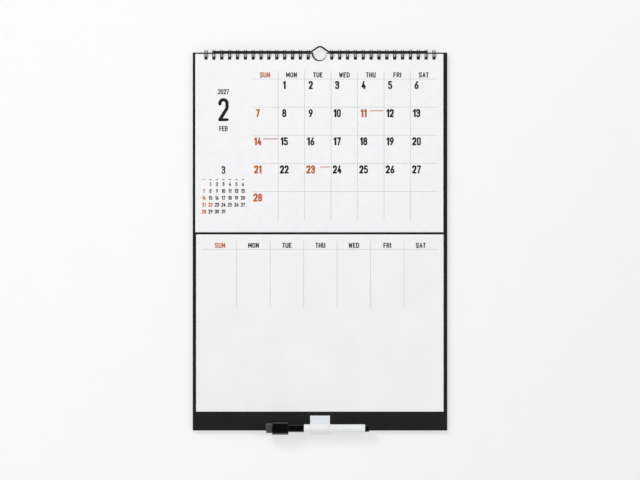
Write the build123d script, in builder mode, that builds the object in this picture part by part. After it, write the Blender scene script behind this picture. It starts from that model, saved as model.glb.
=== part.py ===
from build123d import *
import math
import os

# Wall calendar: a stiff backing board with a block of month sheets bound to its top edge by
# twin-loop wire, a wire hanger threaded through the loops, a dry-wipe sheet glued below, and
# a marker held at the bottom edge in a loop of clear film.
#
# Frame, in millimetres: +Z up, the front faces -Y, and the board's mid-plane is y = 0.
# The origin is the nail seat, the inside of the crown of the hanger's eye.

# ---------------------------------------------------------------- driving dimensions
# Backing board
board_width = 274.4
board_height = 407.4
board_thickness = 1.6
board_corner_radius = 0.6

# Hanger wire, straight arms on the board's top edge and a raised eye in the middle
hanger_wire = 1.8
hanger_half_length = 115.6
eye_height = 4.45             # from the nail seat down to the centre line of the arms
eye_flank_angle = 35.0        # degrees from level
eye_crown_radius = 5.0        # centre line
eye_base_radius = 3.0         # centre line
hanger_end_chamfer = 0.25
arm_clearance = 0.1           # under the arms and between the arms and the loops

# Twin-loop wire binding, three loops to the inch
loop_radius = 4.2             # to the centre of the wire
loop_wire = 0.9
loop_pitch = 25.4 / 3
loops_per_side = 14
loops_left_out = 2            # at the thumb notch
twin_spacing = 2.3            # between the two wires of one loop
loop_forward = 0.2            # loop centre in front of the board's front face
spine_angle = -15.0           # of the links between loops, degrees up from straight back
spine_bend_radius = 1.0
seam_gap = 0.5                # between the tips of the loops and the spine
spine_stub = 1.6              # straight end of the spine past the last loop

# Punched holes
hole_side_clearance = 0.2
hole_edge_clearance = 0.3     # from the inside of the loops up to the edge of the hole
hole_height = 3.45
hole_corner_radius = 0.7

# Month sheets, the leaves that are left, as one block
sheet_width = 267.0
sheet_height = 191.9
sheets_thickness = 1.8
sheets_shift = -0.7           # the block sits a little to the left on the board
sheets_gap = 0.35             # behind the last leaf, so that the block can turn
sheets_top_drop = 0.1         # top edge below the centre of the loops

# Thumb notch under the hanger's eye
notch_radius = 7.2
notch_centre_drop = 1.0       # below the board's top edge
sheet_notch_radius = 8.3
sheet_notch_drop = 0.3        # centre below the board's notch centre

# Dry-wipe sheet glued under the month sheets
whiteboard_width = 266.6
whiteboard_height = 190.9
whiteboard_thickness = 0.4
whiteboard_shift = -0.2
whiteboard_gap = 2.5          # bare strip of board between the two sheets

# Marker, lying level with its cap to the left
marker_clearance = 0.15       # between the cap's head and the board
marker_above_edge = 2.9       # axis above the board's bottom edge
cap_mouth_x = -17.35
barrel_diameter = 8.5
barrel_length = 65.7
barrel_wall = 0.8
mouth_gap = 0.05              # between the cap's mouth and the barrel's shoulder
spigot_diameter = 6.8
spigot_length = 11.0
spigot_wall = 0.8
shoulder_thickness = 1.5
press_clearance = 0.05        # radial, where one piece is pressed into another

# Tail plug
plug_length = 4.7
plug_end_diameter = 7.2
plug_stem_length = 6.0
plug_wall = 0.8
plug_edge_radius = 0.6

# Nib, its collar and the ink reservoir
nib_diameter = 3.0
nib_overhang = 3.7            # beyond the collar's nose
collar_flange_thickness = 1.0
collar_flange_diameter = 6.2
collar_nose_length = 4.0
collar_nose_diameter = 3.9
collar_stem_length = 9.0
reservoir_clearance = 0.2     # radial, in the barrel
reservoir_length = 55.0
reservoir_gap = 0.1           # end to end, between nib, reservoir and shoulder

# Cap with its eraser head
cap_neck_diameter = 8.4
cap_neck_length = 16.5
cap_head_diameter = 14.1
cap_head_length = 17.7
cap_edge_radius = 0.7
cap_bore_clearance = 0.15     # radial, over the spigot
cap_bore_depth = 22.5
felt_diameter = 10.8
felt_overhang = 6.8
felt_socket_depth = 5.5
felt_edge_radius = 1.2

# Loop of clear film that holds the marker, and the adhesive tape behind its tab
holder_width = 21.4
holder_film = 0.2
holder_tab_top = 16.1         # above the board's bottom edge
holder_crease = 9.6           # lower end of the tab, above the board's bottom edge
holder_clearance = 0.3        # between the film and the barrel
holder_heel_radius = 2.6      # bottom bend, inside
holder_bottom = 4.6           # inside of the bottom bend, below the board's bottom edge
crease_radius = 0.03          # inside, where the two layers part
tape_width = 17.3
tape_thickness = 0.15
tape_inset = 0.6              # from the top of the tab
tape_height = 9.0

# ---------------------------------------------------------------- derived places
arm_z = -eye_height
board_top = arm_z - hanger_wire / 2 - arm_clearance
board_bottom = board_top - board_height
board_front = -board_thickness / 2

# The loops hang on the arms: their centre lies so that each loop's inside clears the arm.
loop_inner = loop_radius - loop_wire / 2
loop_centre_y = board_front - loop_forward
arm_reach = loop_inner - hanger_wire / 2 - arm_clearance
loop_centre_z = arm_z - math.sqrt(arm_reach**2 - loop_centre_y**2)

sheets_back = board_front - sheets_gap
sheets_front = sheets_back - sheets_thickness
sheets_top = loop_centre_z - sheets_top_drop
sheets_bottom = sheets_top - sheet_height

# Holes: the bound layer that lies farthest from the loop centre sets their top edge.
layer_reach = max(loop_centre_y - sheets_front, board_thickness / 2 - loop_centre_y)
hole_top = loop_centre_z - math.sqrt(loop_inner**2 - layer_reach**2) + hole_edge_clearance
hole_middle_z = hole_top - hole_height / 2
hole_width = twin_spacing + loop_wire + 2 * hole_side_clearance

loop_places = 2 * loops_per_side + loops_left_out
first_loop_x = -(loop_places - 1) / 2 * loop_pitch
left_loops = [first_loop_x + i * loop_pitch for i in range(loops_per_side)]
right_loops = [-x for x in reversed(left_loops)]

notch_z = board_top - notch_centre_drop
whiteboard_top = sheets_bottom - whiteboard_gap
whiteboard_middle_z = whiteboard_top - whiteboard_height / 2

marker_y = board_front - marker_clearance - cap_head_diameter / 2
marker_z = board_bottom + marker_above_edge
marker_plane = Plane(origin=(0, marker_y, marker_z), x_dir=(1, 0, 0), z_dir=(0, -1, 0))
marker_axis = Axis((0, marker_y, marker_z), (1, 0, 0))

barrel_front_x = cap_mouth_x + mouth_gap
barrel_tail_x = barrel_front_x + barrel_length
barrel_bore = barrel_diameter / 2 - barrel_wall
spigot_tip_x = barrel_front_x - spigot_length
spigot_bore = spigot_diameter / 2 - spigot_wall
shoulder_x = barrel_front_x + shoulder_thickness
collar_nose_x = spigot_tip_x - collar_flange_thickness - collar_nose_length
nib_tip_x = collar_nose_x - nib_overhang
reservoir_x = shoulder_x + reservoir_gap
cap_shoulder_x = cap_mouth_x - cap_neck_length
cap_end_x = cap_shoulder_x - cap_head_length
felt_seat_x = cap_end_x + felt_socket_depth

os.makedirs("parts", exist_ok=True)


def front_plane(y):
    """An upright plane at depth y, seen from the front: local X to the right, local Y up."""
    return Plane(origin=(0, y, 0), x_dir=(1, 0, 0), z_dir=(0, -1, 0))


# ---------------------------------------------------------------- backing board
with BuildPart() as backing_board:
    with BuildSketch(front_plane(board_thickness / 2)) as board_outline:
        with Locations((0, board_top - board_height / 2)):
            RectangleRounded(board_width, board_height, board_corner_radius)
        with Locations((0, notch_z)):
            Circle(notch_radius, mode=Mode.SUBTRACT)
        with Locations([(x, hole_middle_z) for x in left_loops + right_loops]):
            RectangleRounded(hole_width, hole_height, hole_corner_radius, mode=Mode.SUBTRACT)
    extrude(amount=board_thickness)

backing_board.part.label = "backing_board"
export_step(backing_board.part, "parts/backing_board.step")

# ---------------------------------------------------------------- dry-wipe sheet
with BuildPart() as whiteboard_sheet:
    with BuildSketch(front_plane(board_front)):
        with Locations((whiteboard_shift, whiteboard_middle_z)):
            Rectangle(whiteboard_width, whiteboard_height)
    extrude(amount=whiteboard_thickness)

whiteboard_sheet.part.label = "whiteboard_sheet"
export_step(whiteboard_sheet.part, "parts/whiteboard_sheet.step")

# ---------------------------------------------------------------- month sheets
with BuildPart() as month_sheets:
    with BuildSketch(front_plane(sheets_back)):
        with Locations((sheets_shift, sheets_top - sheet_height / 2)):
            Rectangle(sheet_width, sheet_height)
        with Locations((sheets_shift, notch_z - sheet_notch_drop)):
            Circle(sheet_notch_radius, mode=Mode.SUBTRACT)
        with Locations([(x, hole_middle_z) for x in left_loops + right_loops]):
            RectangleRounded(hole_width, hole_height, hole_corner_radius, mode=Mode.SUBTRACT)
    extrude(amount=sheets_thickness)

month_sheets.part.label = "month_sheets"
export_step(month_sheets.part, "parts/month_sheets.step")


# ---------------------------------------------------------------- wire binding
# Each loop is one hairpin of wire bent into a ring. Its two legs leave the spine behind the
# board, go over the top to the front, down, and back through the hole to the tip.
half_twin = twin_spacing / 2
leg_start = spine_angle + math.degrees(spine_bend_radius / loop_radius)
tip_backset = math.degrees((loop_wire + seam_gap + half_twin) / loop_radius)
leg_end = 360 + spine_angle - tip_backset


def on_loop(x, angle, ahead=0.0):
    """A point on the loop at an angle up from straight back, moved ahead along the tangent."""
    turn = math.radians(angle)
    y = loop_centre_y + loop_radius * math.cos(turn) - ahead * math.sin(turn)
    z = loop_centre_z + loop_radius * math.sin(turn) + ahead * math.cos(turn)
    return Vector(x, y, z)


def spine_point(x):
    """A point on the centre line of the spine."""
    return on_loop(x, leg_start, -spine_bend_radius)


def wire_comb(loops, label):
    """Bend one comb of wire with a loop at each place in the list."""
    leg_middle = (leg_start + leg_end) / 2
    start = spine_point(loops[0] - half_twin - spine_bend_radius - spine_stub)
    with BuildPart() as comb:
        with BuildLine() as centre_line:
            corner = start
            for x in loops:
                left = x - half_twin
                right = x + half_twin
                Line(corner, spine_point(left - spine_bend_radius))
                TangentArc(
                    spine_point(left - spine_bend_radius), on_loop(left, leg_start), tangent=(1, 0, 0)
                )
                ThreePointArc(on_loop(left, leg_start), on_loop(left, leg_middle), on_loop(left, leg_end))
                ThreePointArc(
                    on_loop(left, leg_end), on_loop(x, leg_end, half_twin), on_loop(right, leg_end)
                )
                ThreePointArc(
                    on_loop(right, leg_end), on_loop(right, leg_middle), on_loop(right, leg_start)
                )
                TangentArc(
                    spine_point(right + spine_bend_radius), on_loop(right, leg_start), tangent=(-1, 0, 0)
                )
                corner = spine_point(right + spine_bend_radius)
            Line(corner, corner + Vector(spine_stub, 0, 0))
        with BuildSketch(Plane(origin=start, z_dir=(1, 0, 0))):
            Circle(loop_wire / 2)
        sweep(path=centre_line.wires()[0])
    comb.part.label = label
    export_step(comb.part, "parts/" + label + ".step")
    return comb.part


wire_binding_left = wire_comb(left_loops, "wire_binding_left")
wire_binding_right = wire_comb(right_loops, "wire_binding_right")

# ---------------------------------------------------------------- hanger
flank = math.radians(eye_flank_angle)
crown_z = hanger_wire / 2
corner_lift = eye_crown_radius * (1 / math.cos(flank) - 1)
eye_half_width = (crown_z + corner_lift - arm_z) / math.tan(flank)

with BuildPart() as hanger:
    with BuildLine() as hanger_line:
        FilletPolyline(
            (-hanger_half_length, 0, arm_z),
            (-eye_half_width, 0, arm_z),
            (0, 0, crown_z + corner_lift),
            (eye_half_width, 0, arm_z),
            (hanger_half_length, 0, arm_z),
            radius=[eye_base_radius, eye_crown_radius, eye_base_radius],
        )
    with BuildSketch(Plane(origin=(-hanger_half_length, 0, arm_z), z_dir=(1, 0, 0))):
        Circle(hanger_wire / 2)
    sweep(path=hanger_line.wires()[0])
    hanger_ends = hanger.faces().filter_by(Plane.YZ).edges()
    chamfer(hanger_ends, length=hanger_end_chamfer)

hanger.part.label = "hanger"
export_step(hanger.part, "parts/hanger.step")

# ---------------------------------------------------------------- marker barrel and tail plug
with BuildPart() as marker_barrel:
    with BuildSketch(marker_plane):
        Polygon(
            (spigot_tip_x, spigot_bore),
            (spigot_tip_x, spigot_diameter / 2),
            (barrel_front_x, spigot_diameter / 2),
            (barrel_front_x, barrel_diameter / 2),
            (barrel_tail_x, barrel_diameter / 2),
            (barrel_tail_x, barrel_bore),
            (shoulder_x, barrel_bore),
            (shoulder_x, spigot_bore),
            align=None,
        )
    revolve(axis=marker_axis)

marker_barrel.part.label = "marker_barrel"
export_step(marker_barrel.part, "parts/marker_barrel.step")

plug_stem = barrel_bore - press_clearance
with BuildPart() as marker_end_plug:
    with BuildSketch(marker_plane):
        Polygon(
            (barrel_tail_x - plug_stem_length, plug_stem - plug_wall),
            (barrel_tail_x - plug_stem_length, plug_stem),
            (barrel_tail_x, plug_stem),
            (barrel_tail_x, barrel_diameter / 2),
            (barrel_tail_x + plug_length, plug_end_diameter / 2),
            (barrel_tail_x + plug_length, 0),
            (barrel_tail_x + plug_wall, 0),
            (barrel_tail_x + plug_wall, plug_stem - plug_wall),
            align=None,
        )
    revolve(axis=marker_axis)
    plug_rim = marker_end_plug.faces().sort_by(Axis.X)[-1].edges()
    fillet(plug_rim, radius=plug_edge_radius)

marker_end_plug.part.label = "marker_end_plug"
export_step(marker_end_plug.part, "parts/marker_end_plug.step")

# ---------------------------------------------------------------- nib, collar and reservoir
with BuildPart() as nib_collar:
    with BuildSketch(marker_plane):
        Polygon(
            (spigot_tip_x + collar_stem_length, nib_diameter / 2 + press_clearance),
            (spigot_tip_x + collar_stem_length, spigot_bore - press_clearance),
            (spigot_tip_x, spigot_bore - press_clearance),
            (spigot_tip_x, collar_flange_diameter / 2),
            (spigot_tip_x - collar_flange_thickness, collar_flange_diameter / 2),
            (collar_nose_x, collar_nose_diameter / 2),
            (collar_nose_x, nib_diameter / 2 + press_clearance),
            align=None,
        )
    revolve(axis=marker_axis)

nib_collar.part.label = "nib_collar"
export_step(nib_collar.part, "parts/nib_collar.step")

nib_radius = nib_diameter / 2
nib_length = reservoir_x - reservoir_gap - nib_tip_x
with BuildPart() as marker_nib:
    with BuildSketch(marker_plane):
        with BuildLine():
            Polyline(
                (nib_tip_x, 0), (nib_tip_x + nib_length, 0), (nib_tip_x + nib_length, nib_radius),
                (nib_tip_x + nib_radius, nib_radius),
            )
            RadiusArc((nib_tip_x + nib_radius, nib_radius), (nib_tip_x, 0), -nib_radius)
        make_face()
    revolve(axis=marker_axis)

marker_nib.part.label = "marker_nib"
export_step(marker_nib.part, "parts/marker_nib.step")

with BuildPart() as ink_reservoir:
    with BuildSketch(Plane(origin=(reservoir_x, marker_y, marker_z), z_dir=(1, 0, 0))):
        Circle(barrel_bore - reservoir_clearance)
    extrude(amount=reservoir_length)

ink_reservoir.part.label = "ink_reservoir"
export_step(ink_reservoir.part, "parts/ink_reservoir.step")

# ---------------------------------------------------------------- cap and felt eraser
with BuildPart() as marker_cap:
    with BuildSketch(marker_plane):
        Polygon(
            (cap_mouth_x, spigot_diameter / 2 + cap_bore_clearance),
            (cap_mouth_x, cap_neck_diameter / 2),
            (cap_shoulder_x, cap_neck_diameter / 2),
            (cap_shoulder_x, cap_head_diameter / 2),
            (cap_end_x, cap_head_diameter / 2),
            (cap_end_x, felt_diameter / 2 + press_clearance),
            (felt_seat_x, felt_diameter / 2 + press_clearance),
            (felt_seat_x, 0),
            (cap_mouth_x - cap_bore_depth, 0),
            (cap_mouth_x - cap_bore_depth, spigot_diameter / 2 + cap_bore_clearance),
            align=None,
        )
    revolve(axis=marker_axis)
    head_edges = marker_cap.edges().filter_by(GeomType.CIRCLE)
    head_rims = [edge for edge in head_edges if abs(edge.radius - cap_head_diameter / 2) < 0.01]
    fillet(head_rims, radius=cap_edge_radius)

marker_cap.part.label = "marker_cap"
export_step(marker_cap.part, "parts/marker_cap.step")

with BuildPart() as eraser_felt:
    with BuildSketch(Plane(origin=(felt_seat_x, marker_y, marker_z), z_dir=(-1, 0, 0))):
        Circle(felt_diameter / 2)
    extrude(amount=felt_socket_depth + felt_overhang)
    felt_rim = eraser_felt.faces().sort_by(Axis.X)[0].edges()
    fillet(felt_rim, radius=felt_edge_radius)

eraser_felt.part.label = "eraser_felt"
export_step(eraser_felt.part, "parts/eraser_felt.step")

# ---------------------------------------------------------------- film loop and its tape
# Seen from the side, the film leaves its tab at the crease, goes round the front of the
# barrel, turns in a heel below the board's edge and comes back up the board to the crease.
side_plane = Plane(origin=(-holder_width / 2, 0, 0), x_dir=(0, 1, 0), z_dir=(1, 0, 0))
tab_back = board_front - tape_thickness
tab_middle = tab_back - holder_film
crease_y = tab_middle - crease_radius
crease_z = board_bottom + holder_crease
heel_y = tab_middle - holder_heel_radius
heel_z = board_bottom - holder_bottom + holder_heel_radius
tab_top = board_bottom + holder_tab_top


film_bends = [
    (crease_y, crease_z, crease_radius),
    (marker_y, marker_z, barrel_diameter / 2 + holder_clearance),
    (heel_y, heel_z, holder_heel_radius),
]

with BuildPart() as pen_holder:
    with BuildSketch(side_plane):
        with BuildLine():
            for bend_y, bend_z, bend_radius in film_bends:
                CenterArc((bend_y, bend_z), bend_radius + holder_film, 0, 360)
        make_hull()
        with Locations((tab_middle, (crease_z + tab_top) / 2)):
            Rectangle(2 * holder_film, tab_top - crease_z)
    extrude(amount=holder_width)
    with BuildSketch(side_plane):
        with BuildLine():
            for bend_y, bend_z, bend_radius in film_bends:
                CenterArc((bend_y, bend_z), bend_radius, 0, 360)
        make_hull()
    extrude(amount=holder_width, mode=Mode.SUBTRACT)

pen_holder.part.label = "pen_holder"
export_step(pen_holder.part, "parts/pen_holder.step")

with BuildPart() as pen_holder_tape:
    with BuildSketch(front_plane(board_front)):
        with Locations((0, tab_top - tape_inset - tape_height / 2)):
            Rectangle(tape_width, tape_height)
    extrude(amount=tape_thickness)

pen_holder_tape.part.label = "pen_holder_tape"
export_step(pen_holder_tape.part, "parts/pen_holder_tape.step")
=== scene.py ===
# %% [markdown]
# # A wall calendar
# The object is a month-to-view wall calendar. A block of paper leaves hangs from twin-loop wire
# on a black board, with a dry-wipe sheet glued below it and a marker in a loop of film at the
# bottom edge. The board, wires, marker and film come ready made from the CAD frame. Here they
# get their finishes, the block of leaves is made as real leaves, the eraser as real felt, and
# the printing is drawn.

# %% Load the frame
import math

import bpy
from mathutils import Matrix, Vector


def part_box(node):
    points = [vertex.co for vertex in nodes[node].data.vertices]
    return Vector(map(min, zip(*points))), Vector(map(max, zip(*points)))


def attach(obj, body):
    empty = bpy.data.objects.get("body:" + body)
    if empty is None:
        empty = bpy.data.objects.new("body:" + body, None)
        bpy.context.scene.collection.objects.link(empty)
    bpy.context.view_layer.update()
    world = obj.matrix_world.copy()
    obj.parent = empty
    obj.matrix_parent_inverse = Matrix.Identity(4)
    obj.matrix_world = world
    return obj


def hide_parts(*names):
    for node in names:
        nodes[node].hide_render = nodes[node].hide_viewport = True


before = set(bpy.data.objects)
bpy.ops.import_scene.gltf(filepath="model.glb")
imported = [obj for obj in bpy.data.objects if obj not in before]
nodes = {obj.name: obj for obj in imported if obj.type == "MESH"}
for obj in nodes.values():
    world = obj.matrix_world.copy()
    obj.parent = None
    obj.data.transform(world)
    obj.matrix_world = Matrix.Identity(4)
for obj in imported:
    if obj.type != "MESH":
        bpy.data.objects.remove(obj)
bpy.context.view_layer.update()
MM = 0.001


def corners(node):
    """The lowest and highest corners of a CAD node, as vectors in metres."""
    low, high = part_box(node)
    return Vector(low), Vector(high)


board_low, board_high = corners("backing_board")
sheets_low, sheets_high = corners("month_sheets")
wipe_low, wipe_high = corners("whiteboard_sheet")
print("board", [round(size / MM, 1) for size in board_high - board_low], "mm")

# %% [markdown]
# ## Camera
# The calendar is seen straight on, from far away through a long lens, so that its edges stay
# parallel. The lens follows from the width of wall that the view takes in.

# %% Camera
view_width = 0.690          # metres of wall across the view
camera_distance = 3.0
view_centre_z = -0.2075
sensor_width = 36.0         # the sensor and the lens are in millimetres

bpy.ops.object.camera_add(
    location=(0, -camera_distance, view_centre_z), rotation=(math.radians(90), 0, 0)
)
camera = bpy.context.object
camera.name = "camera"
camera.data.sensor_width = sensor_width
camera.data.lens = sensor_width * camera_distance / view_width
camera.data.clip_start = 0.1
camera.data.clip_end = 20
bpy.context.scene.camera = camera
print("lens", round(camera.data.lens, 1), "mm")

# %% [markdown]
# ## Helpers for materials
# A few helpers serve every finish. One turns a written colour into the linear numbers that
# shaders work in. One adds a node, with its settings, its values and its links. Two more make
# what nearly every finish needs: blotches of a real size, and a blend of two written colours.

# %% Colour and node helpers


def linear(hex_colour):
    """Turn an sRGB colour such as "f2f2f3" into linear red, green, blue and alpha."""
    channels = [int(hex_colour[i:i + 2], 16) / 255 for i in (0, 2, 4)]
    return [c / 12.92 if c <= 0.04045 else ((c + 0.055) / 1.055) ** 2.4 for c in channels] + [1]


def add_node(tree, kind, sockets=None, **settings):
    """Add a node. A socket's value is a number or colour, or a (node, output name) link."""
    node = tree.nodes.new(kind)
    for name, value in settings.items():
        setattr(node, name, value)
    for name, value in (sockets or {}).items():
        if isinstance(value, tuple):
            source, output = value
            tree.links.new(source.outputs[output], node.inputs[name])
        else:
            node.inputs[name].default_value = value
    return node


def new_material(name):
    """Start an empty material and return it with its node tree."""
    material = bpy.data.materials.new(name)
    material.use_nodes = True
    material.node_tree.nodes.clear()
    print("material:", name)
    return material, material.node_tree


def finish_material(tree, surface):
    """Link the last shader node to the material's output."""
    output = add_node(tree, "ShaderNodeOutputMaterial")
    tree.links.new(surface.outputs[0], output.inputs["Surface"])


def mottle(tree, size_mm, detail=4.0, stretch=(1, 1, 1)):
    """A noise on the object's own coordinates whose blotches are size_mm across."""
    place = add_node(tree, "ShaderNodeTexCoord")
    mapping = add_node(
        tree, "ShaderNodeMapping", {"Vector": (place, "Object"), "Scale": list(stretch)}
    )
    scale = 1 / (size_mm * MM)
    return add_node(
        tree, "ShaderNodeTexNoise",
        {"Vector": (mapping, "Vector"), "Scale": scale, "Detail": detail, "Roughness": 0.6},
    )


def blend_colours(tree, factor, dark, light, low=0.3, high=0.7):
    """Run a factor through a ramp from one written colour to another."""
    ramp = add_node(tree, "ShaderNodeValToRGB", {"Fac": factor})
    ramp.color_ramp.elements[0].position = low
    ramp.color_ramp.elements[0].color = linear(dark)
    ramp.color_ramp.elements[1].position = high
    ramp.color_ramp.elements[1].color = linear(light)
    return ramp


# %% [markdown]
# ## Black greyboard
# The backing is solid greyboard with a black paper lining. Lined board is matt, a little
# uneven in tone where the fibres lie, and never quite black. Two noises do this: a fine one for
# the fibres and a broad one for the cloudiness of the sheet.

# %% Black lined greyboard
greyboard, tree = new_material("black lined greyboard")
fibres = mottle(tree, 0.5, detail=6)
clouds = mottle(tree, 22)
both = add_node(
    tree, "ShaderNodeMath", {0: (fibres, "Fac"), 1: (clouds, "Fac")}, operation="ADD"
)
half = add_node(tree, "ShaderNodeMath", {0: (both, "Value"), 1: 0.5}, operation="MULTIPLY")
tone = blend_colours(tree, (half, "Value"), "131314", "1c1b1c", 0.35, 0.65)
grain = add_node(tree, "ShaderNodeBump", {"Height": (fibres, "Fac"), "Distance": 0.04 * MM})
surface = add_node(
    tree, "ShaderNodeBsdfPrincipled",
    {"Base Color": (tone, "Color"), "Normal": (grain, "Normal"), "Roughness": 0.78, "IOR": 1.4},
)
finish_material(tree, surface)

# %% [markdown]
# ## Uncoated paper
# The leaves are smooth uncoated paper of about 170 g. It is a cool white with a faint cloudiness
# and a fibre grain far finer than the render can show, so the grain is drawn a little coarser.

# %% Uncoated paper
paper, tree = new_material("uncoated white paper")
formation = mottle(tree, 6, detail=5)
fibres = mottle(tree, 0.35, detail=3)
tone = blend_colours(tree, (formation, "Fac"), "f1f1f3", "f5f5f6")
grain = add_node(tree, "ShaderNodeBump", {"Height": (fibres, "Fac"), "Distance": 0.01 * MM})
surface = add_node(
    tree, "ShaderNodeBsdfPrincipled",
    {"Base Color": (tone, "Color"), "Normal": (grain, "Normal"), "Roughness": 0.82, "IOR": 1.4},
)
finish_material(tree, surface)

# %% [markdown]
# ## Dry-wipe film
# The lower sheet is card under a satin film that ink wipes off. Next to the paper it is a touch
# greyer and smoother, and faint level streaks from wiping break up its sheen.

# %% Dry-wipe film
wipe_film, tree = new_material("satin dry-wipe film")
streaks = mottle(tree, 3, detail=3, stretch=(0.06, 1, 1))
haze = mottle(tree, 40, detail=2)
tone = blend_colours(tree, (haze, "Fac"), "f3f3f3", "f6f6f6")
rough = add_node(
    tree, "ShaderNodeMapRange", {"Value": (streaks, "Fac"), "To Min": 0.28, "To Max": 0.42}
)
surface = add_node(
    tree, "ShaderNodeBsdfPrincipled",
    {"Base Color": (tone, "Color"), "Roughness": (rough, "Result"), "IOR": 1.5},
)
finish_material(tree, surface)

# %% [markdown]
# ## Black coated wire
# Binding wire and hanger are steel wire with a black nylon coat. The coat is glossy and a little
# wavy, which breaks the highlight along each loop.

# %% Nylon-coated wire
coated_wire, tree = new_material("black nylon-coated wire")
waves = mottle(tree, 1.2, detail=2)
tone = blend_colours(tree, (waves, "Fac"), "050505", "0a0a0b")
ripple = add_node(tree, "ShaderNodeBump", {"Height": (waves, "Fac"), "Distance": 0.02 * MM})
surface = add_node(
    tree, "ShaderNodeBsdfPrincipled",
    {"Base Color": (tone, "Color"), "Normal": (ripple, "Normal"), "Roughness": 0.34, "IOR": 1.45},
)
finish_material(tree, surface)

# %% [markdown]
# ## Plastics of the marker
# Barrel, cap and plug are moulded polypropylene, glossy with a faint waxy ripple. White
# polypropylene lets a little light in, so the barrel has some subsurface scattering.

# %% Moulded polypropylene


def moulded_plastic(name, dark, light, roughness, scatter=0.0):
    """Polypropylene out of a polished mould, with a faint ripple along the flow of the melt."""
    material, tree = new_material(name)
    flow = mottle(tree, 2.5, detail=3, stretch=(0.25, 1, 1))
    tone = blend_colours(tree, (flow, "Fac"), dark, light)
    ripple = add_node(tree, "ShaderNodeBump", {"Height": (flow, "Fac"), "Distance": 0.012 * MM})
    surface = add_node(
        tree, "ShaderNodeBsdfPrincipled",
        {
            "Base Color": (tone, "Color"), "Normal": (ripple, "Normal"), "Roughness": roughness,
            "IOR": 1.6, "Subsurface Weight": scatter, "Subsurface Scale": 0.0015,
        },
    )
    finish_material(tree, surface)
    return material


white_plastic = moulded_plastic("white moulded polypropylene", "f0f0f0", "f4f4f3", 0.3, 0.15)
black_plastic = moulded_plastic("black moulded polypropylene", "050505", "0a0a0b", 0.06)

# %% [markdown]
# ## Frosted film and its tape
# The pen loop is thin polypropylene film with a frosted face. It scatters nearly all the light,
# so what is behind it is only a soft tint. The tape behind the tab is white, and its glue lies in
# fine level lines, which show through the film as stripes.

# %% Frosted film
tape_low, tape_high = corners("pen_holder_tape")
glue_line = 1.35             # mm from one line of glue to the next
wave_length = 0.314          # the length of one band of the wave texture at a scale of one
loose_body = 0.85            # how much of the light the film stops, where it is loose
glued_body = 0.97            # and where it is glued to the tape

frosted_film, tree = new_material("frosted polypropylene film")
frost = mottle(tree, 0.4, detail=3)
place = add_node(tree, "ShaderNodeTexCoord")
apart = add_node(tree, "ShaderNodeSeparateXYZ", {"Vector": (place, "Object")})
off_centre = add_node(tree, "ShaderNodeMath", {0: (apart, "X")}, operation="ABSOLUTE")
over_x = add_node(
    tree, "ShaderNodeMath", {0: (off_centre, "Value"), 1: tape_high.x}, operation="LESS_THAN"
)
over_z = add_node(
    tree, "ShaderNodeMath", {0: (apart, "Z"), 1: tape_low.z}, operation="GREATER_THAN"
)
over_tape = add_node(
    tree, "ShaderNodeMath", {0: (over_x, "Value"), 1: (over_z, "Value")}, operation="MULTIPLY"
)
lines = add_node(
    tree, "ShaderNodeTexWave",
    {"Vector": (place, "Object"), "Scale": wave_length / (glue_line * MM), "Distortion": 0.4},
    wave_type="BANDS", bands_direction="Z",
)
clean = blend_colours(tree, (frost, "Fac"), "fafbfd", "feffff")
glued = blend_colours(tree, (lines, "Fac"), "e6eaf1", "f6f8fb", 0.0, 1.0)
# In a colour mix, sockets 6 and 7 are the two colours, and 2 is the result.
tone = add_node(
    tree, "ShaderNodeMix",
    {"Factor": (over_tape, "Value"), 6: (clean, "Color"), 7: (glued, "Color")},
    data_type="RGBA",
)
body_of_film = add_node(
    tree, "ShaderNodeMapRange",
    {"Value": (over_tape, "Value"), "To Min": loose_body, "To Max": glued_body},
)
matt = add_node(tree, "ShaderNodeBump", {"Height": (frost, "Fac"), "Distance": 0.01 * MM})
surface = add_node(
    tree, "ShaderNodeBsdfPrincipled",
    {
        "Base Color": (tone, 2), "Normal": (matt, "Normal"), "Roughness": 0.35, "IOR": 1.49,
        "Alpha": (body_of_film, "Result"),
    },
)
finish_material(tree, surface)

# %% [markdown]
# The tape behind the tab is white and double-sided, with level streaks in its layer of glue.

# %% Adhesive tape
tape, tree = new_material("white double-sided tape")
stripes = mottle(tree, 2.2, detail=1, stretch=(0.02, 1, 1))
tone = blend_colours(tree, (stripes, "Fac"), "dde4ec", "f1f5f9", 0.4, 0.6)
surface = add_node(
    tree, "ShaderNodeBsdfPrincipled", {"Base Color": (tone, "Color"), "Roughness": 0.6, "IOR": 1.45}
)
finish_material(tree, surface)

# %% [markdown]
# ## Felts and inks
# The eraser is pressed grey wool felt: a matt, cloudy grey with a fuzz that catches light at its
# edge, which is what sheen is for. Nib and reservoir are bonded fibre, dark with ink.

# %% Felts


def felt(name, dark, light, fibre_mm, sheen):
    """Pressed fibre: cloudy tone, a bump of crossing fibres and a fuzzy sheen."""
    material, tree = new_material(name)
    fibres = mottle(tree, fibre_mm, detail=8)
    tone = blend_colours(tree, (fibres, "Fac"), dark, light, 0.35, 0.65)
    nap = add_node(tree, "ShaderNodeBump", {"Height": (fibres, "Fac"), "Distance": 0.25 * MM})
    surface = add_node(
        tree, "ShaderNodeBsdfPrincipled",
        {
            "Base Color": (tone, "Color"), "Normal": (nap, "Normal"), "Roughness": 0.95,
            "Sheen Weight": sheen, "Sheen Roughness": 0.5,
        },
    )
    finish_material(tree, surface)
    return material


eraser_grey = felt("grey pressed wool felt", "2c2c2d", "4b4b4d", 0.8, 0.4)
inked_fibre = felt("inked nib fibre", "0c0c10", "17171c", 0.3, 0.1)
reservoir_fibre = felt("inked reservoir fibre", "26262b", "3a3a40", 0.5, 0.1)

# %% [markdown]
# The printing is offset ink, thin and matt, and its cover varies a little over the sheet.

# %% Printing inks


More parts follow.
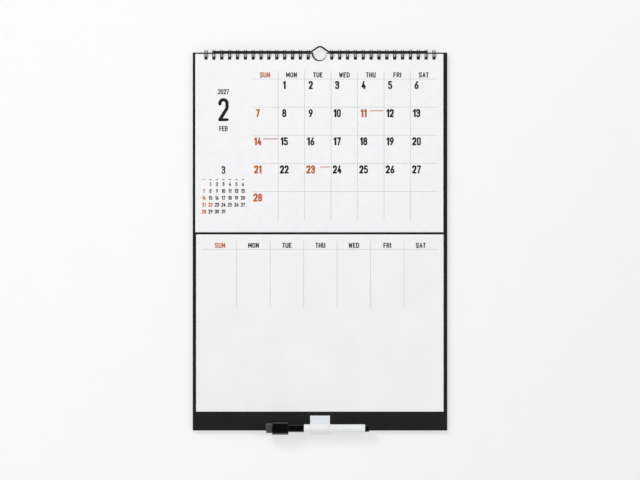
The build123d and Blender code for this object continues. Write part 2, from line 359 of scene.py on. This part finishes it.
def offset_ink(name, dark, light):
    """A thin matt ink film whose coverage varies a little over the sheet."""
    material, tree = new_material(name)
    cover = mottle(tree, 1.5, detail=4)
    tone = blend_colours(tree, (cover, "Fac"), dark, light)
    surface = add_node(
        tree, "ShaderNodeBsdfPrincipled",
        {"Base Color": (tone, "Color"), "Roughness": 0.65, "IOR": 1.45},
    )
    finish_material(tree, surface)
    return material


black_ink = offset_ink("black offset ink", "0f0c0b", "1a1716")
orange_ink = offset_ink("orange offset ink", "b75300", "c15f04")
grey_ink = offset_ink("light grey offset ink", "a9aaae", "b5b6ba")

# %% [markdown]
# ## Finishes on the CAD pieces
# Every CAD node keeps its shape, so its finish simply goes into its material slot. The sheets
# and the felt are soft pieces: they are modelled further down and stand in for their nodes.

# %% Assign the finishes
finishes = {
    "backing_board": greyboard,
    "whiteboard_sheet": wipe_film,
    "month_sheets": paper,
    "wire_binding_left": coated_wire,
    "wire_binding_right": coated_wire,
    "hanger": coated_wire,
    "pen_holder": frosted_film,
    "pen_holder_tape": tape,
    "marker_barrel": white_plastic,
    "marker_end_plug": black_plastic,
    "nib_collar": white_plastic,
    "marker_nib": inked_fibre,
    "ink_reservoir": reservoir_fibre,
    "marker_cap": black_plastic,
    "eraser_felt": eraser_grey,
}
for node_name, material in finishes.items():
    mesh = nodes[node_name].data
    mesh.materials.clear()
    mesh.materials.append(material)
print(len(finishes), "CAD nodes finished")

# %% [markdown]
# ## The leaves
# On the real calendar eleven leaves are left, and from the side one sees each of them. One leaf
# is the front face of the CAD block, with its holes and thumb notch, given the thickness of
# heavy paper. The others are copies, each lying a hair out of line, as cut and bound paper does.

# %% Leaves
leaf_count = 11
leaf_slack = 0.12 * MM       # how far a leaf may lie out of line
leaf_pitch = (sheets_high.y - sheets_low.y) / leaf_count
leaf_share = 0.85            # of the pitch; the rest is air between the leaves
leaf_thickness = leaf_share * leaf_pitch
aside_turn = 2.4             # radians from one leaf to the next; two unlike steps, so that
down_turn = 1.7              # no two leaves lie the same
front_limit = -0.9           # a face whose normal has a lower y is turned to the front


def only_selected(thing):
    """Leave one object selected and active, in object mode."""
    bpy.ops.object.select_all(action="DESELECT")
    thing.select_set(True)
    bpy.context.view_layer.objects.active = thing


def select_faces(thing, wanted):
    """In edit mode, select the faces for which wanted(face) is true."""
    bpy.ops.mesh.select_all(action="DESELECT")
    bpy.ops.mesh.select_mode(type="FACE")
    bpy.ops.object.mode_set(mode="OBJECT")
    for face in thing.data.polygons:
        face.select = wanted(face)
    bpy.ops.object.mode_set(mode="EDIT")


only_selected(nodes["month_sheets"])
bpy.ops.object.duplicate()
first_leaf = bpy.context.object
first_leaf.name = "month_leaves"
bpy.ops.object.mode_set(mode="EDIT")
bpy.ops.mesh.select_all(action="SELECT")
bpy.ops.mesh.remove_doubles(threshold=0.001 * MM)
select_faces(first_leaf, lambda face: face.normal.y > front_limit)
bpy.ops.mesh.delete(type="FACE")
bpy.ops.mesh.select_all(action="SELECT")
bpy.ops.mesh.dissolve_limited(angle_limit=math.radians(1))
bpy.ops.mesh.extrude_region_move(TRANSFORM_OT_translate={"value": (0, leaf_thickness, 0)})
bpy.ops.mesh.select_all(action="SELECT")
bpy.ops.mesh.normals_make_consistent(inside=False)
bpy.ops.object.mode_set(mode="OBJECT")

leaves = [first_leaf]
for number in range(1, leaf_count):
    only_selected(first_leaf)
    bpy.ops.object.duplicate()
    leaf = bpy.context.object
    aside = leaf_slack * math.sin(aside_turn * number)
    down = leaf_slack * math.cos(down_turn * number)
    leaf.location = (aside, number * leaf_pitch, down)
    bpy.ops.object.transform_apply(location=True, rotation=False, scale=False)
    leaves.append(leaf)
only_selected(first_leaf)
for leaf in leaves:
    leaf.select_set(True)
bpy.ops.object.join()
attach(first_leaf, "month_pad")
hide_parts("month_sheets")
print(leaf_count, "leaves,", len(first_leaf.data.polygons), "faces")

# %% [markdown]
# ## The eraser
# A felt pad is cut from a sheet, so its rim is soft and its faces are uneven. A cylinder is
# rounded at the rim, divided finely, and pushed in and out by a cloud texture.

# %% Felt eraser
felt_low, felt_high = corners("eraser_felt")
felt_centre = (felt_low + felt_high) / 2
felt_radius = (felt_high.z - felt_low.z) / 2
felt_length = felt_high.x - felt_low.x
felt_nap = 0.22 * MM
felt_rim = 1.3 * MM           # radius of the soft rim
felt_grid = 0.25 * MM         # size of a face after the fine division
felt_clump = 0.9 * MM         # size of a clump of wool
felt_sides = 48
rim_segments = 5
nap_swing = 1.2               # from the deepest to the highest of the nap, in felt_nap

bpy.ops.object.select_all(action="DESELECT")
bpy.ops.mesh.primitive_cylinder_add(
    vertices=felt_sides, radius=felt_radius - felt_nap, depth=felt_length - 2 * felt_nap,
    end_fill_type="NGON", rotation=(0, math.radians(90), 0),
)
eraser = bpy.context.object
eraser.name = "felt_eraser"
bpy.ops.object.mode_set(mode="EDIT")
select_faces(eraser, lambda face: len(face.vertices) > 4)
bpy.ops.mesh.bevel(offset=felt_rim, segments=rim_segments, affect="EDGES")
bpy.ops.object.mode_set(mode="OBJECT")
only_selected(eraser)
remesh = eraser.modifiers.new("fine grid", "REMESH")
remesh.mode = "VOXEL"
remesh.voxel_size = felt_grid
bpy.ops.object.modifier_apply(modifier=remesh.name)
cloud = bpy.data.textures.new("felt nap", "CLOUDS")
cloud.noise_scale = felt_clump
nap = eraser.modifiers.new("nap", "DISPLACE")
nap.texture = cloud
nap.texture_coords = "LOCAL"
nap.strength = nap_swing * felt_nap
bpy.ops.object.modifier_apply(modifier=nap.name)
bpy.ops.object.shade_smooth()
eraser.location = felt_centre
bpy.ops.object.transform_apply(location=True, rotation=True, scale=True)
eraser.data.materials.append(eraser_grey)
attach(eraser, "cap")
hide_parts("eraser_felt")
print("felt eraser", len(eraser.data.polygons), "faces")

# %% [markdown]
# ## Lettering
# The numbers are in a narrow rounded hand, as drawn with a round-tipped pen. So each character is
# a few pen strokes: points on its centre line, with the radius of the bend at each. A stroke
# becomes a curve with a round bevel, and the finished line of text is pressed flat to a film.
# A character's box is one high and as wide as its own strokes.

# %% Strokes of each character
W = 0.36                     # usual width of a character, for a height of one
R = 0.18                     # usual radius of a bend
N = 0.44                     # width of the wider capitals
OVAL = [(0, 0, R), (W, 0, R), (W, 1, R), (0, 1, R), (0, 0, R)]
GLYPHS = {
    "0": [OVAL],
    "1": [[(0, 0.84, 0), (0.17, 1, 0), (0.17, 0, 0)]],
    "2": [[(0, 0.8, 0), (0, 1, R), (W, 1, R), (W, 0.58, 0.3), (0, 0, 0), (W, 0, 0)]],
    "3": [
        [(0, 0.84, 0), (0, 1, R), (W, 1, R), (W, 0.54, R), (0.12, 0.54, 0)],
        [(0.12, 0.54, 0), (W, 0.54, R), (W, 0, R), (0, 0, R), (0, 0.16, 0)],
    ],
    "4": [[(0.2, 1, 0), (0, 0.25, 0), (W, 0.25, 0)], [(0.27, 0.48, 0), (0.27, 0, 0)]],
    "5": [[
        (0.33, 1, 0), (0.04, 1, 0), (0.01, 0.6, 0), (W, 0.6, R), (W, 0, R), (0, 0, R),
        (0, 0.14, 0),
    ]],
    "6": [
        [(0, 0, R), (W, 0, R), (W, 0.52, R), (0, 0.52, R), (0, 0, R)],
        [(0.27, 1, 0), (0, 0.42, 0.3), (0, 0.26, 0)],
    ],
    "7": [[(0, 1, 0), (W, 1, 0), (0.12, 0, 0)]],
    "8": [
        [(0, 0, R), (W, 0, R), (W, 0.54, R), (0, 0.54, R), (0, 0, R)],
        [
            (0.02, 0.54, 0.16), (0.34, 0.54, 0.16), (0.34, 1, 0.16), (0.02, 1, 0.16),
            (0.02, 0.54, 0.16),
        ],
    ],
    "9": [
        [(0, 0.48, R), (W, 0.48, R), (W, 1, R), (0, 1, R), (0, 0.48, R)],
        [(0.09, 0, 0), (W, 0.58, 0.3), (W, 0.74, 0)],
    ],
    "A": [[(0, 0, 0), (0.22, 1, 0), (N, 0, 0)], [(0.07, 0.3, 0), (0.37, 0.3, 0)]],
    "B": [
        [(0, 0, 0), (0, 1, 0), (N, 1, R), (N, 0.54, R), (0, 0.54, 0)],
        [(0, 0.54, 0), (N, 0.54, R), (N, 0, R), (0, 0, 0)],
    ],
    "D": [[(0, 0, 0), (0, 1, 0), (N, 1, R), (N, 0, R), (0, 0, 0)]],
    "E": [[(W, 1, 0), (0, 1, 0), (0, 0, 0), (W, 0, 0)], [(0, 0.52, 0), (0.3, 0.52, 0)]],
    "F": [[(W, 1, 0), (0, 1, 0), (0, 0, 0)], [(0, 0.52, 0), (0.3, 0.52, 0)]],
    "H": [[(0, 0, 0), (0, 1, 0)], [(N, 0, 0), (N, 1, 0)], [(0, 0.5, 0), (N, 0.5, 0)]],
    "I": [[(0, 0, 0), (0, 1, 0)]],
    "M": [[(0, 0, 0), (0, 1, 0), (0.28, 0.3, 0), (0.56, 1, 0), (0.56, 0, 0)]],
    "N": [[(0, 0, 0), (0, 1, 0), (N, 0, 0), (N, 1, 0)]],
    "O": [[(0, 0, 0.2), (N, 0, 0.2), (N, 1, 0.2), (0, 1, 0.2), (0, 0, 0.2)]],
    "R": [
        [(0, 0, 0), (0, 1, 0), (N, 1, R), (N, 0.48, R), (0, 0.48, 0)],
        [(0.2, 0.48, 0), (N, 0, 0)],
    ],
    "S": [[
        (N, 0.86, 0), (N, 1, 0.2), (0, 1, 0.2), (0, 0.58, 0.2), (N, 0.42, 0.2), (N, 0, 0.2),
        (0, 0, 0.2), (0, 0.14, 0),
    ]],
    "T": [[(0, 1, 0), (W, 1, 0)], [(0.18, 1, 0), (0.18, 0, 0)]],
    "U": [[(0, 1, 0), (0, 0, R), (N, 0, R), (N, 1, 0)]],
    "W": [[(0, 1, 0), (0.15, 0, 0), (0.31, 0.8, 0), (0.47, 0, 0), (0.62, 1, 0)]],
}


def glyph_width(character):
    """The width of a character's strokes, for a height of one."""
    return max(x for stroke in GLYPHS[character] for x, y, radius in stroke)


# %% [markdown]
# A bend is an arc that touches both straight runs. Its points are worked out here from the
# corner, the two directions and the radius, which shrinks where the runs are too short for it.

# %% Round the bends of a stroke
arc_steps = 6
shared_run = 0.5             # how much of a run a bend may take, with a bend at its other end
lone_run = 0.95              # and with none


def rounded(stroke):
    """Turn a stroke's corner points into runs of points, parted at its sharp corners."""
    points = [Vector((x, y)) for x, y, radius in stroke]
    radii = [radius for x, y, radius in stroke]
    closed = points[0] == points[-1] and all(radii)
    last = len(points) - 1
    if not closed:
        radii[0] = radii[last] = 0
    runs = [[]]
    for i, corner in enumerate(points[:-1] if closed else points):
        if radii[i] == 0:
            runs[-1].append(corner)
            if 0 < i < last:
                runs.append([corner])
            continue
        before = (i - 1) % last if closed else i - 1
        back = points[before] - corner
        ahead = points[i + 1] - corner
        back_room = back.length * (shared_run if radii[before] else lone_run)
        ahead_room = ahead.length * (shared_run if radii[i + 1] else lone_run)
        half_angle = back.angle(ahead) / 2
        reach = min(radii[i] / math.tan(half_angle), back_room, ahead_room)
        bend = reach * math.tan(half_angle)
        inward = (back.normalized() + ahead.normalized()).normalized()
        middle = corner + inward * bend / math.sin(half_angle)
        start = corner + back.normalized() * reach - middle
        sweep = math.pi - 2 * half_angle
        side = 1 if back.cross(ahead) < 0 else -1
        for step in range(arc_steps + 1):
            turn = side * sweep * step / arc_steps
            x = start.x * math.cos(turn) - start.y * math.sin(turn)
            y = start.x * math.sin(turn) + start.y * math.cos(turn)
            runs[-1].append(middle + Vector((x, y)))
    return [(run, closed) for run in runs]


# %% [markdown]
# Round pen ends come from the curve's own radius: past each end the stroke runs on by half its
# width while its radius falls along a quarter circle.

# %% Ink strokes
cap_steps = [0.45, 0.75, 0.93, 1.0]
least_radius = 0.02          # keeps the tip of a stroke from closing to a point
film_half_thickness = 0.012 * MM
film_lift = 0.016 * MM


def add_stroke(curve, path, closed, width):
    """Add one pen stroke to a curve, in metres, across the x and z axes."""
    radii = [1.0] * len(path)
    if not closed:
        lead = (path[0] - path[1]).normalized()
        tail = (path[-1] - path[-2]).normalized()
        reaches = [step * width / 2 for step in cap_steps]
        fading = [max(math.sqrt(1 - step * step), least_radius) for step in cap_steps]
        before = [path[0] + lead * reach for reach in reversed(reaches)]
        after = [path[-1] + tail * reach for reach in reaches]
        radii = fading[::-1] + radii + fading
        path = before + path + after
    spline = curve.splines.new("POLY")
    spline.points.add(len(path) - 1)
    spline.use_cyclic_u = closed
    for point, place, radius in zip(spline.points, path, radii):
        point.co = (place.x, 0, place.y, 1)
        point.radius = radius


# %% [markdown]
# What is printed on the leaves turns with them, and what is printed on the dry-wipe sheet stays
# on the board. So each printing says on which face it lies and which body it rides.

# %% Press the strokes flat
on_leaves = {"face_y": sheets_low.y, "body": "month_pad", "slot_name": "sheet_paper"}
on_wipe_sheet = {"face_y": wipe_low.y, "body": "backboard", "slot_name": "dry_wipe_film"}


def press_flat(curve, name, width, ink, face_y, body, slot_name):
    """Give a curve of strokes its width, and press it to a film of ink on a face."""
    curve.dimensions = "3D"
    curve.bevel_depth = width / 2
    curve.bevel_resolution = 1
    curve.use_fill_caps = True
    piece = bpy.data.objects.new(name, curve)
    bpy.context.collection.objects.link(piece)
    only_selected(piece)
    bpy.ops.object.convert(target="MESH")
    piece = bpy.context.object
    piece.scale = (1, 2 * film_half_thickness / width, 1)
    piece.location = (0, face_y - film_lift, 0)
    bpy.ops.object.transform_apply(location=True, rotation=True, scale=True)
    bpy.ops.object.mode_set(mode="EDIT")
    bpy.ops.mesh.select_all(action="SELECT")
    bpy.ops.mesh.remove_doubles(threshold=0.0001 * MM)
    bpy.ops.mesh.normals_make_consistent(inside=False)
    bpy.ops.object.mode_set(mode="OBJECT")
    bpy.ops.object.shade_flat()
    piece.data.materials.clear()
    piece.data.materials.append(ink)
    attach(piece, body)
    print(name, len(piece.data.polygons), "faces")


def write(name, words, ink, where, height, width, gap=0.0, spread=1.0):
    """Print words, each a (text, centre x, top z) in metres, in one size of lettering.

    The pen draws strokes of this width, and spread widens each character.
    """
    curve = bpy.data.curves.new(name, "CURVE")
    tall = height - width
    wide = tall * spread
    for text, centre_x, top_z in words:
        text_width = sum(glyph_width(c) for c in text) * wide + gap * (len(text) - 1)
        left = centre_x - text_width / 2
        foot = top_z - width / 2 - tall
        for character in text:
            for stroke in GLYPHS[character]:
                for path, closed in rounded(stroke):
                    path = [Vector((left + p.x * wide, foot + p.y * tall)) for p in path]
                    add_stroke(curve, path, closed, width)
            left += glyph_width(character) * wide + gap
    press_flat(curve, name, width, ink, **where)


def rule(name, lines, ink, where, width):
    """Print straight lines, each a pair of (x, z) ends in metres."""
    curve = bpy.data.curves.new(name, "CURVE")
    for start, end in lines:
        add_stroke(curve, [Vector(start), Vector(end)], False, width)
    press_flat(curve, name, width, ink, **where)


# %% [markdown]
# ## The month's grid
# Seven columns and five rows of days, ruled in light grey, with the names of the days above.
# The outer sides stay open: there is no line left of Sunday or right of Saturday.

# %% Ruling of the month
weekdays = 7
weeks = 5
column = 28.5 * MM
row = 30.3 * MM
rule_width = 0.34 * MM
first_column_x = sheets_low.x + 60.7 * MM
last_line_x = sheets_low.x + 260.3 * MM
names_z = sheets_high.z - 18.2 * MM
head_z = sheets_high.z - 27.0 * MM          # the line under the names of the days
foot_z = sheets_high.z - 179.0 * MM

uprights = [first_column_x + column * i for i in range(1, weekdays)]
levels = [head_z - row * i for i in range(weeks)]
lines = [((x, names_z), (x, foot_z)) for x in uprights]
lines += [((first_column_x, z), (last_line_x, z)) for z in levels]
rule("month_ruling", lines, grey_ink, on_leaves, rule_width)

# %% [markdown]
# The names of the days stand over the middle of their columns, Sunday in orange.

# %% Names of the days
day_names = ["SUN", "MON", "TUE", "WED", "THU", "FRI", "SAT"]
name_top = sheets_high.z - 19.7 * MM
name_style = {"height": 5.7 * MM, "width": 1.18 * MM, "gap": 1.6 * MM, "spread": 1.12}

names = [
    (text, first_column_x + (i + 0.5) * column, name_top) for i, text in enumerate(day_names)
]
write("sunday_name", names[:1], orange_ink, on_leaves, **name_style)
write("day_names", names[1:], black_ink, on_leaves, **name_style)

# %% [markdown]
# The numbers stand near the left of each day's field. Sundays and holidays are orange. Next
# month is set out in the same way further down, so one function sorts the days of both.

# %% Days of the month
first_weekday = 1            # both months begin on a Monday
month_length = 28
month_holidays = [11, 23]
number_inset = 6.5 * MM
number_drop = 2.0 * MM
number_style = {"height": 9.0 * MM, "width": 2.0 * MM, "gap": 2.2 * MM, "spread": 1.08}


def day_place(day, column_step, row_step):
    """How far right and down a day lies from the first Sunday's place."""
    cell = day - 1 + first_weekday
    return cell % weekdays * column_step, cell // weekdays * row_step


def sort_days(day_count, holidays, first_x, top_z, column_step, row_step):
    """List a month's day numbers with their places, the black ones and the orange ones."""
    black_days = []
    orange_days = []
    for day in range(1, day_count + 1):
        across, down = day_place(day, column_step, row_step)
        is_orange = across == 0 or day in holidays
        word = (str(day), first_x + across, top_z - down)
        (orange_days if is_orange else black_days).append(word)
    return black_days, orange_days


black_days, orange_days = sort_days(
    month_length, month_holidays, first_column_x + number_inset, head_z - number_drop,
    column, row,
)
write("day_numbers", black_days, black_ink, on_leaves, **number_style)
write("sunday_numbers", orange_days, orange_ink, on_leaves, **number_style)

# %% [markdown]
# Beside three of the days a short orange dash stands for the small print of a feast day.

# %% Feast dashes
dash_width = 1.0 * MM
dash_drop = 3.9 * MM
dash_runs = {              # each day's dash: where it starts in the field, and its length
    11: (13.9 * MM, 13.5 * MM),
    14: (12.5 * MM, 15.5 * MM),
    23: (16.6 * MM, 10.5 * MM),
}
dashes = []
for day, (start, length) in dash_runs.items():
    across, down = day_place(day, column, row)
    x = first_column_x + across + start
    z = head_z - down - dash_drop
    dashes.append(((x, z), (x + length, z)))
rule("feast_dashes", dashes, orange_ink, on_leaves, dash_width)

# %% [markdown]
# ## Month and year
# In the left margin the month stands as a tall number, between the year and its short name.

# %% Month and year
margin_x = sheets_low.x + 30.2 * MM
year_top = sheets_high.z - 37.8 * MM
month_top = sheets_high.z - 47.6 * MM
month_name_top = sheets_high.z - 77.6 * MM
small_style = {"height": 5.7 * MM, "width": 1.12 * MM, "gap": 1.3 * MM, "spread": 1.05}
month_style = {"height": 25.0 * MM, "width": 3.6 * MM}

words = [("2027", margin_x, year_top), ("FEB", margin_x, month_name_top)]
write("year_and_name", words, black_ink, on_leaves, **small_style)
write("month_number", [("2", margin_x, month_top)], black_ink, on_leaves, **month_style)

# %% [markdown]
# Low in the same margin there is next month in small. Its names of days are too small to read,
# so they are dashes.

# %% Next month in small
next_month_length = 31
next_month_holidays = [22]
small_column = 7.0 * MM
small_row = 7.4 * MM
small_first_x = margin_x - weekdays // 2 * small_column
next_month_top = sheets_high.z - 120.7 * MM
small_names_z = sheets_high.z - 135.2 * MM
small_top = sheets_high.z - 138.0 * MM
half_dash = 1.2 * MM
small_dash_width = 0.8 * MM
next_month_style = {"height": 8.6 * MM, "width": 1.6 * MM}
tiny_style = {"height": 4.4 * MM, "width": 0.95 * MM, "gap": 1.05 * MM, "spread": 1.1}

words = [("3", margin_x, next_month_top)]
write("next_month_number", words, black_ink, on_leaves, **next_month_style)
black_days, orange_days = sort_days(
    next_month_length, next_month_holidays, small_first_x, small_top, small_column, small_row
)
write("next_month_days", black_days, black_ink, on_leaves, **tiny_style)
write("next_month_sundays", orange_days, orange_ink, on_leaves, **tiny_style)

centres = [small_first_x + small_column * i for i in range(weekdays)]
dashes = [((x - half_dash, small_names_z), (x + half_dash, small_names_z)) for x in centres]
rule("next_month_sunday_dash", dashes[:1], orange_ink, on_leaves, small_dash_width)
rule("next_month_day_dashes", dashes[1:], black_ink, on_leaves, small_dash_width)

# %% [markdown]
# ## The week on the dry-wipe sheet
# The lower sheet has seven tall fields to write in. Its columns are wider than the month's, and
# the ruling ends well above the sheet's foot. The order of its days is as printed, with Thursday
# before Wednesday.

# %% Ruling and names of the week
week_names = ["SUN", "MON", "TUE", "THU", "WED", "FRI", "SAT"]
week_column = 36.05 * MM
week_first_x = wipe_low.x + 43.8 * MM       # the line right of Sunday
week_names_z = wipe_high.z - 7.3 * MM
week_name_top = wipe_high.z - 8.9 * MM
week_head_z = wipe_high.z - 16.2 * MM
week_foot_z = wipe_high.z - 78.5 * MM

week_uprights = [week_first_x + week_column * i for i in range(weekdays - 1)]
week_left_x = week_first_x - week_column
week_right_x = week_first_x + (weekdays - 1) * week_column
lines = [((x, week_names_z), (x, week_foot_z)) for x in week_uprights]
lines.append(((week_left_x, week_head_z), (week_right_x, week_head_z)))
rule("week_ruling", lines, grey_ink, on_wipe_sheet, rule_width)

names = [
    (text, week_first_x + (i - 0.5) * week_column, week_name_top)
    for i, text in enumerate(week_names)
]
write("week_sunday_name", names[:1], orange_ink, on_wipe_sheet, **name_style)
write("week_names", names[1:], black_ink, on_wipe_sheet, **name_style)

# %% [markdown]
# ## Wall, floor and light
# The calendar hangs on a white wall, which takes its soft shadow. Seen from behind, the wall is
# clear and lets lamplight through, so that the back of the board can be seen too. The wall is
# mostly white of its own towards the camera and in reflections, and partly lit, so the shadow
# stays as soft as on a bright studio wall. Its own white is painted a little darker away from
# the lamp, a painted fall-off of light. Deep in the gap behind the board its own white goes out
# and its paint turns near black, a painted shade, which is why the holes look black. That
# painted shade is found from how closely things stand before it, so the wall turns white again
# where the board swings away.

# %% Wall
wall_gap = 0.3 * MM
wall_width = 2.4
wall_height = 2.2
wall_own_share = 0.6
# These three numbers set where painted shade darkens the wall in the gap behind the board.
gap_reach = 10 * MM          # how near a thing must be to keep light off the wall
deep_share = 0.2             # the wall is darkest where so little of its view is open
open_share = 0.4             # and fully white from here on
# The wall's own white gets a painted fall-off of light along this direction, darker away from the
# lamp.
away_direction = [1, 0, -0.6]
bright_end, dim_end = -0.1, 0.56     # metres along that direction

wall_white, tree = new_material("white studio wall")
geometry = add_node(tree, "ShaderNodeNewGeometry")
ray = add_node(tree, "ShaderNodeLightPath")
place = add_node(tree, "ShaderNodeTexCoord")
away = add_node(
    tree, "ShaderNodeVectorMath", {0: (place, "Object"), 1: away_direction},
    operation="DOT_PRODUCT",
)
painted_falloff = add_node(
    tree, "ShaderNodeMapRange",
    {"Value": (away, "Value"), "From Min": bright_end, "From Max": dim_end},
)
# Painted fall-off of light: the wall's own white is darker away from the lamp.
shade = blend_colours(tree, (painted_falloff, "Result"), "fdfdfd", "f1f1f1", 0.0, 1.0)
own_light = add_node(tree, "ShaderNodeEmission", {"Color": (shade, "Color"), "Strength": 1.0})

# Painted shade: where things stand close before the wall, its own white goes out and its paint
# turns near black.
closeness = add_node(tree, "ShaderNodeAmbientOcclusion", {"Distance": gap_reach}, samples=16)
gap_shade_mask = add_node(
    tree, "ShaderNodeMapRange",
    {"Value": (closeness, "AO"), "From Min": deep_share, "From Max": open_share},
)
# The wall's paint, darkened to near black as painted shade deep in the gap.
paint = blend_colours(tree, (gap_shade_mask, "Result"), "1c1c1c", "f6f6f6", 0.0, 1.0)
painted = add_node(tree, "ShaderNodeBsdfDiffuse", {"Color": (paint, "Color")})

direct = add_node(
    tree, "ShaderNodeMath", {0: (ray, "Is Camera Ray"), 1: (ray, "Is Glossy Ray")},
    operation="MAXIMUM",
)
seen = add_node(
    tree, "ShaderNodeMath", {0: (direct, "Value"), 1: (ray, "Is Transmission Ray")},
    operation="MAXIMUM",
)
most = add_node(
    tree, "ShaderNodeMath", {0: (seen, "Value"), 1: wall_own_share}, operation="MULTIPLY"
)
share = add_node(
    tree, "ShaderNodeMath", {0: (most, "Value"), 1: (gap_shade_mask, "Result")}, operation="MULTIPLY"
)
front = add_node(
    tree, "ShaderNodeMixShader",
    {0: (share, "Value"), 1: (painted, "BSDF"), 2: (own_light, "Emission")},
)
clear = add_node(tree, "ShaderNodeBsdfTransparent")
lets_through = add_node(
    tree, "ShaderNodeMath", {0: (geometry, "Backfacing"), 1: (ray, "Is Shadow Ray")},
    operation="MAXIMUM",
)
surface = add_node(
    tree, "ShaderNodeMixShader",
    {0: (lets_through, "Value"), 1: (front, "Shader"), 2: (clear, "BSDF")},
)
finish_material(tree, surface)

bpy.ops.object.select_all(action="DESELECT")
bpy.ops.mesh.primitive_plane_add(
    size=1, location=(0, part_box("wire_binding_left")[1][1] + wall_gap, view_centre_z),
    rotation=(math.radians(90), 0, 0),
)
wall = bpy.context.object
wall.name = "wall"
wall.scale = (wall_width, wall_height, 1)
bpy.ops.object.transform_apply(location=True, rotation=True, scale=True)
wall.data.materials.append(wall_white)
print("wall faces", [round(v, 2) for v in wall.data.polygons[0].normal])

# %% [markdown]
# The floor lies well below the view and is there for the views from above. From under it the
# calendar can't be seen. It doesn't show in reflections, so the black cap mirrors a dark room.

# %% Floor
floor_size = 12
floor_drop = 0.75
floor_own_share = 0.9

floor_paint, tree = new_material("pale matt floor paint")
speckle = mottle(tree, 60, detail=3)
tone = blend_colours(tree, (speckle, "Fac"), "ececec", "f0f0f0")
matt_paint = add_node(tree, "ShaderNodeBsdfDiffuse", {"Color": (tone, "Color")})
own_light = add_node(tree, "ShaderNodeEmission", {"Color": linear("fbfbfb"), "Strength": 1.0})
ray = add_node(tree, "ShaderNodeLightPath")
share = add_node(
    tree, "ShaderNodeMath", {0: (ray, "Is Camera Ray"), 1: floor_own_share}, operation="MULTIPLY"
)
surface = add_node(
    tree, "ShaderNodeMixShader",
    {0: (share, "Value"), 1: (matt_paint, "BSDF"), 2: (own_light, "Emission")},
)
finish_material(tree, surface)

bpy.ops.mesh.primitive_plane_add(size=floor_size, location=(0, 0, board_low.z - floor_drop))
floor = bpy.context.object
floor.name = "floor"
bpy.ops.object.transform_apply(location=True, rotation=True, scale=True)
floor.data.materials.append(floor_paint)
floor.visible_glossy = False

# %% [markdown]
# A big soft lamp high on the left gives the shadow at the right and below. A weaker one on the
# right lifts it, and the pale surroundings do the rest. Both stand to the side, so that they
# don't mirror in the black cap. Two more stand behind the wall and light the back.

# %% Lamps
aim = Vector((0, 0, view_centre_z))


def softbox(name, place, size, power):
    """A square area lamp aimed at the calendar's middle, in metres and watts."""
    bpy.ops.object.light_add(type="AREA", location=place)
    lamp = bpy.context.object
    lamp.name = name
    lamp.data.size = size
    lamp.data.energy = power
    lamp.rotation_euler = (aim - Vector(place)).to_track_quat("-Z", "Y").to_euler()
    print(name, power, "W")


softbox("key_left", place=(-1.6, -2.4, 2.0), size=1.2, power=77)
softbox("fill_right", place=(1.9, -2.4, 0.5), size=1.2, power=22)
softbox("back_left", place=(-1.6, 2.2, 0.9), size=1.4, power=20)
softbox("back_right", place=(1.6, 2.2, 0.5), size=1.4, power=15)

# %% [markdown]
# The surroundings light the calendar softly from all sides. In a reflection they are dark, as a
# studio is around its lamps, and the camera sees them as white as the wall.

# %% Surroundings
ambient_strength = 0.3
mirrored_strength = 0.04

world = bpy.data.worlds.new("pale surroundings")
world.use_nodes = True
tree = world.node_tree
tree.nodes.clear()
ray = add_node(tree, "ShaderNodeLightPath")
ambient = add_node(
    tree, "ShaderNodeBackground", {"Color": linear("f3f3f3"), "Strength": ambient_strength}
)
dim = add_node(
    tree, "ShaderNodeBackground", {"Color": linear("f3f3f3"), "Strength": mirrored_strength}
)
white = add_node(tree, "ShaderNodeBackground", {"Color": linear("f7f7f7"), "Strength": 1.0})
mirrored = add_node(
    tree, "ShaderNodeMixShader",
    {0: (ray, "Is Glossy Ray"), 1: (ambient, "Background"), 2: (dim, "Background")},
)
either = add_node(
    tree, "ShaderNodeMixShader",
    {0: (ray, "Is Camera Ray"), 1: (mirrored, "Shader"), 2: (white, "Background")},
)
output = add_node(tree, "ShaderNodeOutputWorld")
tree.links.new(either.outputs[0], output.inputs["Surface"])
bpy.context.scene.world = world
bpy.context.scene.view_settings.view_transform = "Standard"
